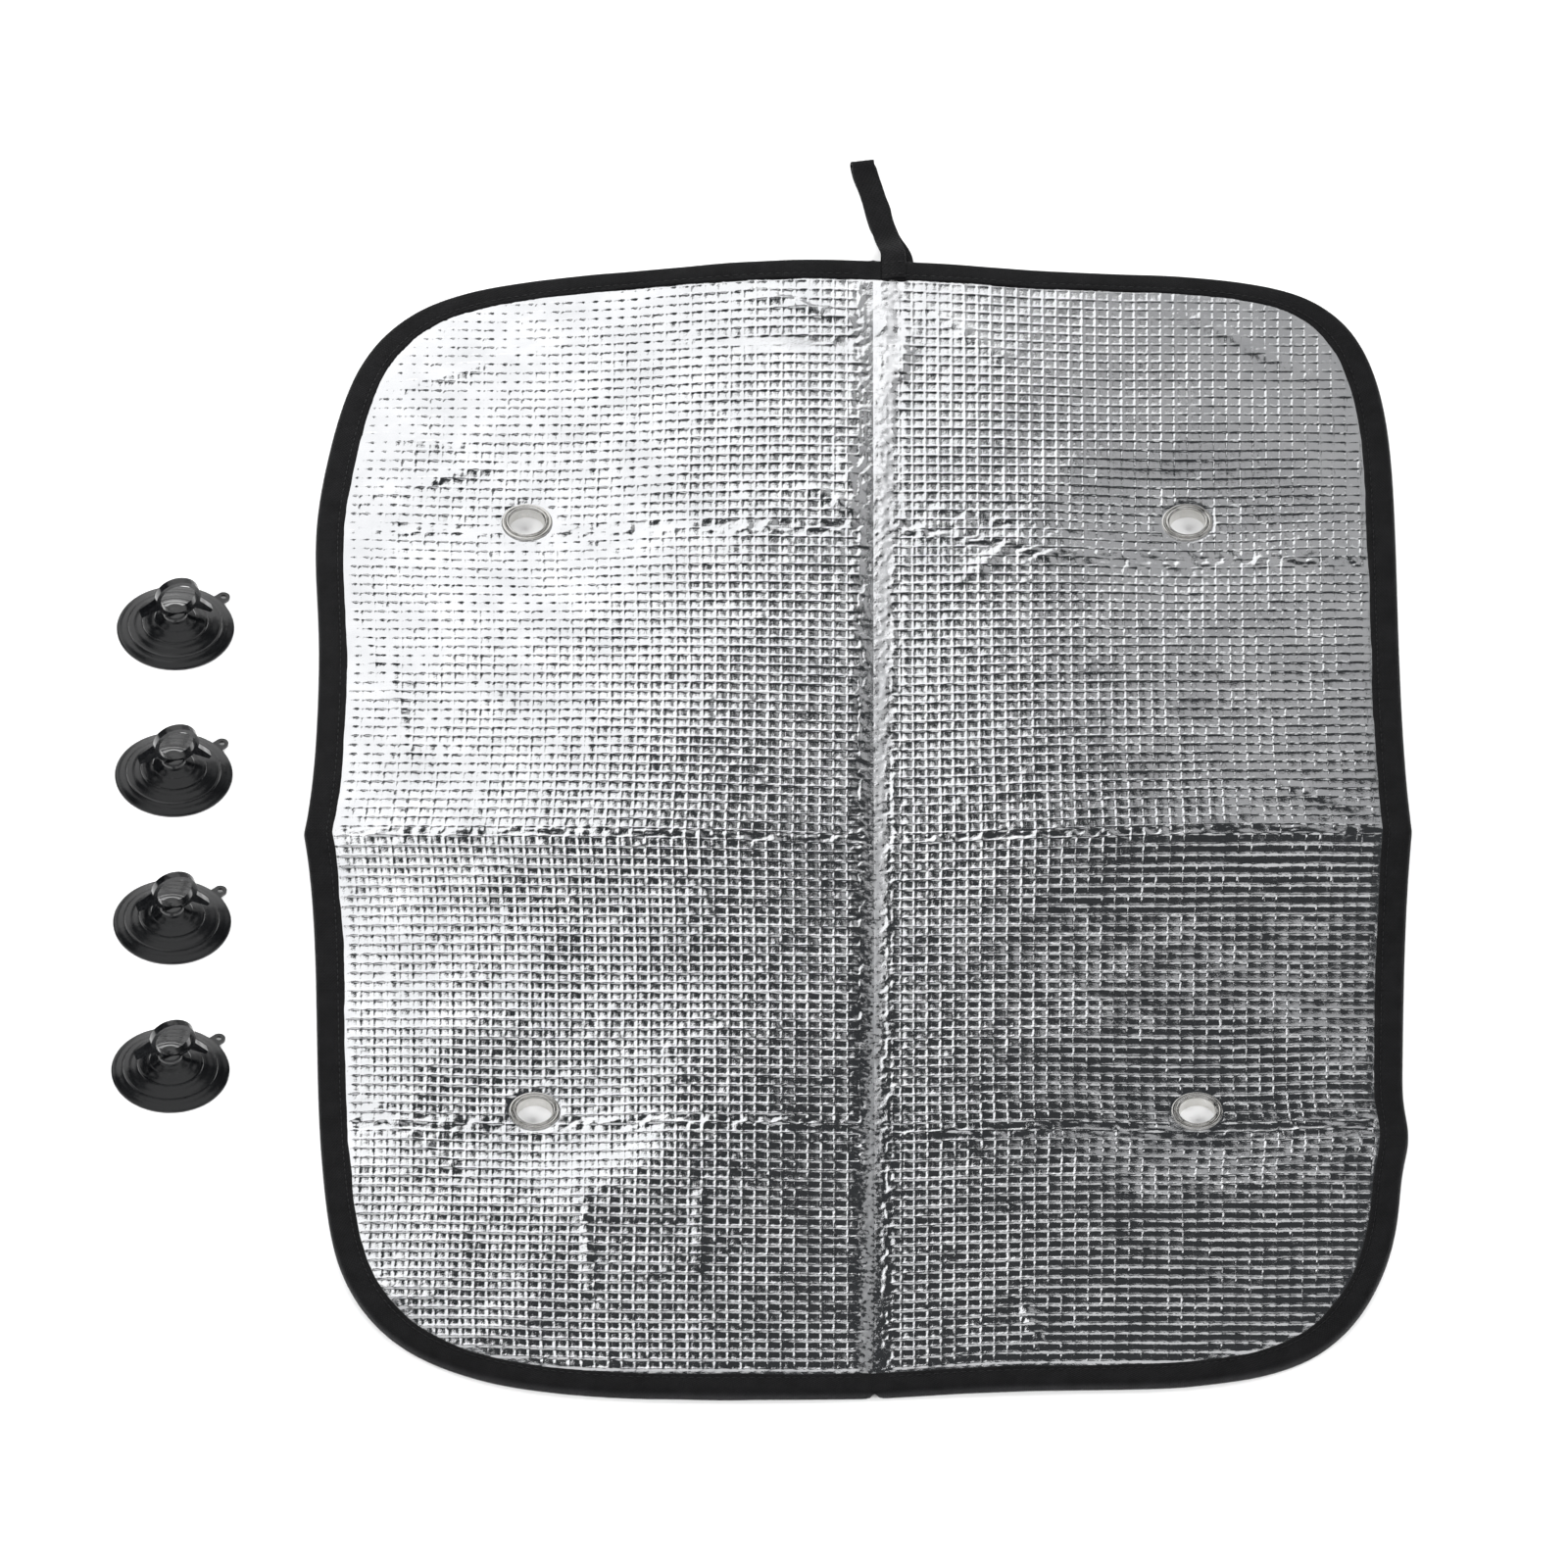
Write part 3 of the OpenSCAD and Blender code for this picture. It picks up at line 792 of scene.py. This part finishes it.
def noise_node(tree, coords, scale, detail=3.0, rough=0.55):
    node = add(tree, "ShaderNodeTexNoise", Scale=scale, Detail=detail, Roughness=rough)
    tree.links.new(coords, node.inputs["Vector"])
    return node


def ramp(tree, value, low, high, at=(0.0, 1.0)):
    """A number that runs from low to high as value runs between the two places at."""
    node = add(tree, "ShaderNodeMapRange")
    for name, number in zip(("From Min", "From Max", "To Min", "To Max"), (*at, low, high)):
        node.inputs[name].default_value = number
    tree.links.new(value, node.inputs["Value"])
    return node.outputs["Result"]


def tint(tree, shader, value, low, high, at=(0.0, 1.0)):
    """Give the shader a base colour that runs from low to high as value runs between the two places at."""
    node = add(tree, "ShaderNodeValToRGB")
    for element, place, colour in zip(node.color_ramp.elements, at, (low, high)):
        element.position = place
        element.color = (*colour, 1)
    tree.links.new(value, node.inputs["Fac"])
    tree.links.new(node.outputs["Color"], shader.inputs["Base Color"])


def gloss(tree, shader, value, low, high):
    """Give the shader a roughness from low to high."""
    tree.links.new(ramp(tree, value, low, high, (0.3, 0.7)), shader.inputs["Roughness"])


def math_node(tree, operation, first, second=None, third=None):
    """The result of a sum on sockets or numbers."""
    node = add(tree, "ShaderNodeMath", operation=operation)
    for k, term in enumerate((first, second, third)):
        if isinstance(term, bpy.types.NodeSocket):
            tree.links.new(term, node.inputs[k])
        elif term is not None:
            node.inputs[k].default_value = term
    return node.outputs[0]


def bump(tree, shader, height, strength, distance, before=None):
    node = add(tree, "ShaderNodeBump", Strength=strength, Distance=distance)
    tree.links.new(height, node.inputs["Height"])
    if before is not None:
        tree.links.new(before, node.inputs["Normal"])
    tree.links.new(node.outputs["Normal"], shader.inputs["Normal"])
    return node.outputs["Normal"]


# The dull band of finely crushed film along the lengthwise crease, in metres.
DULL_MIDDLE = (CREASE_X + 2.0) * MM  # X of its middle halfway up the pad
DULL_LEAN = 0.018  # how far it leans to the right for each metre up
DULL_RAGGED = 0.018  # how ragged its edges are
DULL_EDGE = (0.0095, 0.0135)  # where it ends
DULL_ROUGHNESS = 0.42
CRACK_BEND = (0.0016, 0.0016, 0.0016)  # how far the fine cracks stray from straight, in metres


def foil_material():
    material, tree, shader = new_material("aluminised_film")
    coords = add(tree, "ShaderNodeTexCoord").outputs["Object"]
    shader.inputs["Metallic"].default_value = 1.0
    cloud = noise_node(tree, coords, 55, 4)
    tint(tree, shader, cloud.outputs["Fac"], (0.80, 0.81, 0.83), (0.93, 0.935, 0.95), (0.3, 0.7))
    haze = noise_node(tree, coords, 240, 3)
    smooth_film = ramp(tree, haze.outputs["Fac"], 0.05, 0.11, (0.3, 0.7))
    # The film in the lengthwise crease is finely crushed, which looks dull.
    place = add(tree, "ShaderNodeSeparateXYZ")
    tree.links.new(coords, place.inputs[0])
    drift = math_node(tree, "MULTIPLY_ADD", place.outputs["Y"], -DULL_LEAN, place.outputs["X"])
    apart = math_node(tree, "SUBTRACT", drift, DULL_MIDDLE)
    away = math_node(tree, "ABSOLUTE", apart)
    patches = noise_node(tree, coords, 520, 3, 0.6)
    ragged = math_node(tree, "MULTIPLY_ADD", patches.outputs["Fac"], DULL_RAGGED, away)
    crushed = ramp(tree, ragged, DULL_ROUGHNESS, 0.0, DULL_EDGE)
    tree.links.new(math_node(tree, "MAXIMUM", smooth_film, crushed), shader.inputs["Roughness"])
    cracks = add(tree, "ShaderNodeTexVoronoi", Scale=900.0, feature="DISTANCE_TO_EDGE")
    bent = noise_node(tree, coords, 420, 2)
    offset = add(tree, "ShaderNodeVectorMath", operation="MULTIPLY_ADD")
    offset.inputs[1].default_value = CRACK_BEND
    tree.links.new(bent.outputs["Color"], offset.inputs[0])
    tree.links.new(coords, offset.inputs[2])
    tree.links.new(offset.outputs[0], cracks.inputs["Vector"])
    first = bump(tree, shader, cracks.outputs["Distance"], 0.25, 0.00012)
    grain = noise_node(tree, coords, 700, 4, 0.65)
    bump(tree, shader, grain.outputs["Fac"], 0.4, 0.00016, first)
    return material


def foam_material():
    material, tree, shader = new_material("closed_cell_foam")
    coords = add(tree, "ShaderNodeTexCoord").outputs["Object"]
    cells = add(tree, "ShaderNodeTexVoronoi", Scale=1600.0)
    tree.links.new(coords, cells.inputs["Vector"])
    tint(tree, shader, cells.outputs["Distance"], (0.86, 0.86, 0.84), (0.93, 0.93, 0.91))
    shader.inputs["Roughness"].default_value = 0.65
    bump(tree, shader, cells.outputs["Distance"], 0.5, 0.0003)
    return material


RIB_SHARE = 0.35  # depth of the ribs across the tape next to that of its weave


def weave_material(name, along, across):
    """Black woven tape. along and across are the lengths of one over-and-under of the weave, in metres."""
    material, tree, shader = new_material(name)
    uv = add(tree, "ShaderNodeTexCoord").outputs["UV"]
    split = add(tree, "ShaderNodeSeparateXYZ")
    tree.links.new(uv, split.inputs[0])

    def wave(axis, size):
        return math_node(tree, "SINE", math_node(tree, "MULTIPLY", split.outputs[axis], 2 * math.pi / size))

    product = math_node(tree, "MULTIPLY", wave("X", along), wave("Y", across))
    rib = math_node(tree, "MULTIPLY_ADD", wave("X", along / 2), RIB_SHARE, product)
    coords = add(tree, "ShaderNodeTexCoord").outputs["Object"]
    fuzz = noise_node(tree, coords, 1800, 4, 0.7)
    wear = noise_node(tree, coords, 120, 4)
    tint(tree, shader, wear.outputs["Fac"], (0.010, 0.010, 0.011), (0.020, 0.020, 0.022), (0.35, 0.75))
    gloss(tree, shader, fuzz.outputs["Fac"], 0.55, 0.85)
    shader.inputs["Sheen Weight"].default_value = 0.08
    shader.inputs["Sheen Roughness"].default_value = 0.4
    shader.inputs["Specular IOR Level"].default_value = 0.25
    first = bump(tree, shader, rib, 0.6, 0.00012)
    bump(tree, shader, fuzz.outputs["Fac"], 0.35, 0.00015, first)
    return material


def thread_material():
    material, tree, shader = new_material("black_thread")
    coords = add(tree, "ShaderNodeTexCoord").outputs["Object"]
    twist = noise_node(tree, coords, 2600, 2)
    tint(tree, shader, twist.outputs["Fac"], (0.012, 0.012, 0.013), (0.04, 0.04, 0.043), (0.3, 0.7))
    shader.inputs["Roughness"].default_value = 0.45
    bump(tree, shader, twist.outputs["Fac"], 0.5, 0.0001)
    return material


def nickel_material():
    material, tree, shader = new_material("nickel_plate")
    coords = add(tree, "ShaderNodeTexCoord").outputs["Object"]
    shader.inputs["Metallic"].default_value = 1.0
    cloud = noise_node(tree, coords, 180, 3)
    tint(tree, shader, cloud.outputs["Fac"], (0.66, 0.65, 0.62), (0.80, 0.79, 0.77), (0.3, 0.7))
    gloss(tree, shader, cloud.outputs["Fac"], 0.12, 0.28)
    grain = noise_node(tree, coords, 1500, 3)
    bump(tree, shader, grain.outputs["Fac"], 0.12, 0.0001)
    return material


def pvc_material(centre):
    """Black soft PVC with faint moulded rings about the cup's axis."""
    material, tree, shader = new_material("soft_pvc")
    coords = add(tree, "ShaderNodeTexCoord").outputs["Object"]
    apart = add(tree, "ShaderNodeVectorMath", operation="DISTANCE")
    apart.inputs[1].default_value = (centre[0], centre[1], 0)
    level = add(tree, "ShaderNodeVectorMath", operation="MULTIPLY")
    level.inputs[1].default_value = (1, 1, 0)
    tree.links.new(coords, level.inputs[0])
    tree.links.new(level.outputs[0], apart.inputs[0])
    turns = math_node(tree, "MULTIPLY", apart.outputs["Value"], 2 * math.pi / (CUP_RING_STEP * MM))
    first = bump(tree, shader, math_node(tree, "SINE", turns), 0.18, 0.0002)
    cloud = noise_node(tree, coords, 90, 4)
    tint(tree, shader, cloud.outputs["Fac"], (0.006, 0.0065, 0.008), (0.013, 0.014, 0.016), (0.35, 0.7))
    gloss(tree, shader, cloud.outputs["Fac"], 0.15, 0.27)
    shader.inputs["Specular IOR Level"].default_value = 0.6
    shader.inputs["Coat Weight"].default_value = 0.25
    shader.inputs["Coat Roughness"].default_value = 0.12
    skin = noise_node(tree, coords, 420, 4, 0.6)
    bump(tree, shader, skin.outputs["Fac"], 0.2, 0.0003, first)
    return material


def floor_material():
    material, tree, shader = new_material("pale_floor")
    coords = add(tree, "ShaderNodeTexCoord").outputs["Object"]
    cloud = noise_node(tree, coords, 1.5, 2)
    tint(tree, shader, cloud.outputs["Fac"], (0.93, 0.93, 0.93), (0.95, 0.95, 0.95))
    shader.inputs["Roughness"].default_value = 0.9
    shader.inputs["Specular IOR Level"].default_value = 0.1
    return material


foil, foam_look = foil_material(), foam_material()
tape_look = weave_material("woven_tape", 0.0016, 0.0011)
web_look = weave_material("webbing_weave", 0.0022, 0.0016)
thread, nickel = thread_material(), nickel_material()

# ---------------------------------------------------------------- the pad

for column in COLUMNS:
    for chunk in range(3):
        upper_row, lower_row = chunk + 1, chunk + 2
        rows = [upper_row, lower_row]
        pieces = {
            "front_film": (front_film(column, chunk, foil), "film"),
            "back_film": (back_film(column, chunk, foil), "film"),
            "foam": (foam(column, chunk, foam_look), "foam"),
            "binding": (binding(column, chunk, tape_look), "binding_tape"),
            "seam": (stitches(column, chunk, thread), "binding_tape"),
        }
        for kind, (piece, slot) in pieces.items():
            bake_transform(piece)
            if kind != "seam":
                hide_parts(*[f"{kind}_{column}_{row}" for row in rows])

# ---------------------------------------------------------------- webbing, metal and cups

loop, tab_x = webbing_loop(web_look)
tab_seam = tab_stitches(tab_x, thread)
for piece in (loop, tab_seam):
    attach(piece, "panel_right_1")
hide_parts("hang_loop")


def finish_node(node, material, sharp_angle):
    """Give a CAD node that is kept its material and smooth shading."""
    node.data.materials.clear()
    node.data.materials.append(material)
    node.data.polygons.foreach_set("use_smooth", np.ones(len(node.data.polygons), bool))
    node.data.set_sharp_from_angle(angle=math.radians(sharp_angle))


for name, node in frame["nodes"].items():
    if name.startswith(("eyelet", "washer")):
        finish_node(node, nickel, 40)
    if name.startswith("suction_cup"):
        finish_node(node, pvc_material(cup_centre(name)), 35)

# ---------------------------------------------------------------- stage, light and camera


FLOOR_SIZE = 60.0
FLOOR_GAP = 0.0002  # the floor lies this far below the pad


def plane(name, size, material, z):
    """A flat square."""
    half = size / 2
    mesh = bpy.data.meshes.new(name)
    corners = [(-half, -half, z), (half, -half, z), (half, half, z), (-half, half, z)]
    mesh.from_pydata(corners, [], [(0, 1, 2, 3)])
    mesh.materials.append(material)
    made = bpy.data.objects.new(name, mesh)
    bpy.context.scene.collection.objects.link(made)
    return made


floor = plane("floor", FLOOR_SIZE, floor_material(), -FLOOR_GAP)

world = bpy.data.worlds.new("studio")
bpy.context.scene.world = world
world.use_nodes = True
sky = world.node_tree.nodes["Background"]
sky.inputs["Color"].default_value = (0.9, 0.95, 1.0, 1)
sky.inputs["Strength"].default_value = 0.04


def area_light(name, place, facing, width, height, radiance, roll=0.0):
    """A rectangular light of one radiance whatever its size, turned by roll degrees about its axis."""
    data = bpy.data.lights.new(name, "AREA")
    data.shape = "RECTANGLE"
    data.size = width
    data.size_y = height
    data.energy = radiance * math.pi * width * height
    made = bpy.data.objects.new(name, data)
    made.location = place
    turn = facing.to_track_quat("-Z", "Y")
    made.rotation_euler = (turn @ Quaternion((0, 0, 1), math.radians(roll))).to_euler()
    bpy.context.scene.collection.objects.link(made)
    return made


SOFTBOX_DISTANCE = 1.4


def softbox(name, azimuth, elevation, width, height, radiance, distance=SOFTBOX_DISTANCE):
    """A light that faces the pad's middle, its place and size in degrees as seen from there.

    Azimuth 0 is behind the pad and 90 to its right.
    """
    az, el = math.radians(azimuth), math.radians(elevation)
    toward = Vector((math.sin(az) * math.cos(el), math.cos(az) * math.cos(el), math.sin(el)))
    sizes = [2 * distance * math.tan(math.radians(size / 2)) for size in (width, height)]
    return area_light(name, toward * distance, -toward, *sizes, radiance)


CARD_DISTANCE = 0.8  # from the pad's middle


def card(name, x, up, width, height, radiance, roll=0.0):
    """A light in the plane that the camera sees mirrored in the pad: x to the right, up along the plane."""
    toward = Vector((0, math.cos(math.pi / 4), math.sin(math.pi / 4)))
    across = Vector((0, -toward.z, toward.y))
    place = toward * CARD_DISTANCE + Vector((x, 0, 0)) + across * up
    return area_light(name, place, -toward, width, height, radiance, roll)


# Name, x, up, width, height, radiance and roll: for the foil's bright left, its grey right and its right side
CARDS = (
    ("key_card", -0.314, -0.189, 0.60, 0.90, 1.06, -32),
    ("grey_card", 0.225, -0.26, 0.27, 0.52, 0.35, -8),
    ("side_card", 0.45, -0.10, 0.10, 0.60, 0.7, 0),
)
for values in CARDS:
    card(*values)

# Name, azimuth, elevation, width, height and radiance.
SOFTBOXES = (
    ("top_softbox", 0, 91, 60, 42, 0.6),
    ("back_strip", 0, 8, 70, 14, 0.4),
    ("side_strip", 55, 30, 10, 46, 0.6),
)
for values in SOFTBOXES:
    softbox(*values)

# Softboxes that the camera doesn't see mirrored in the pad, for the other sides.
ROUND_AZIMUTHS = (95, 140, 180, 220, 265)
for k, azimuth in enumerate(ROUND_AZIMUTHS):
    softbox(f"round_softbox_{k + 1}", azimuth, elevation=32, width=36, height=40, radiance=0.5)

# Low lights all round that only light the floor, so that it's evenly white.
lit_floor = bpy.data.collections.new("lit_floor")
lit_floor.objects.link(floor)
FLOOR_LIGHTS = 6
for k in range(FLOOR_LIGHTS):
    azimuth = 360 / FLOOR_LIGHTS * k + 30
    name = f"floor_light_{k + 1}"
    light = softbox(name, azimuth, elevation=30, width=30, height=12, radiance=14.0, distance=2.0)
    light.light_linking.receiver_collection = lit_floor

ELEVATION = math.radians(45.3)
DISTANCE = 20.0
SENSOR = 36.0
FIELD_W = 0.599  # width of the frame at the pad
TARGET = Vector((-0.0278, 0.0213, 0.003))
camera_data = bpy.data.cameras.new("camera")
camera_data.sensor_width = SENSOR
camera_data.lens = SENSOR * DISTANCE / FIELD_W
camera_data.clip_end = 100.0
camera = bpy.data.objects.new("camera", camera_data)
back = Vector((0, -math.cos(ELEVATION), math.sin(ELEVATION)))
camera.location = TARGET + back * DISTANCE
camera.rotation_euler = (-back).to_track_quat("-Z", "Y").to_euler()
bpy.context.scene.collection.objects.link(camera)
bpy.context.scene.camera = camera
bpy.context.scene.view_settings.view_transform = "Standard"
